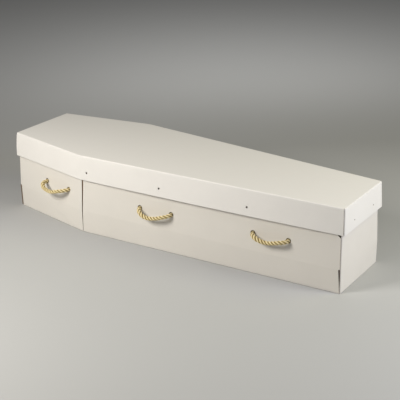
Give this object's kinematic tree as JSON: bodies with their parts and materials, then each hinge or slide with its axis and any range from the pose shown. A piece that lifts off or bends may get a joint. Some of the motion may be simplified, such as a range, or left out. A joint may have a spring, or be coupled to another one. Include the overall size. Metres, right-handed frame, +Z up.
{
  "type": "cardboard coffin",
  "caption": "Tapered shouldered coffin of white corrugated board: an open tray under a lift-off lid with a deep skirt, with rope carrying handles along both sides.",
  "frame": {"origin": "middle of the tray's underside, under the middle of the lid's length and width, at the surface that it stands on", "axes": "+X from the head end to the foot end, +Y to the left of the one who lies in it, +Z up through the lid"},
  "size_m": [1.9382, 0.6484, 0.415],
  "materials": {
    "white_board": "matte",
    "natural_rope": "matte"
  },
  "bodies": {
    "root": {"tray": "white_board", "lid": "white_board", "rope_handle_right_head": "natural_rope", "rope_handle_right_middle": "natural_rope", "rope_handle_right_foot": "natural_rope", "rope_handle_left_head": "natural_rope", "rope_handle_left_middle": "natural_rope", "rope_handle_left_foot": "natural_rope"}
  },
  "joints": []
}
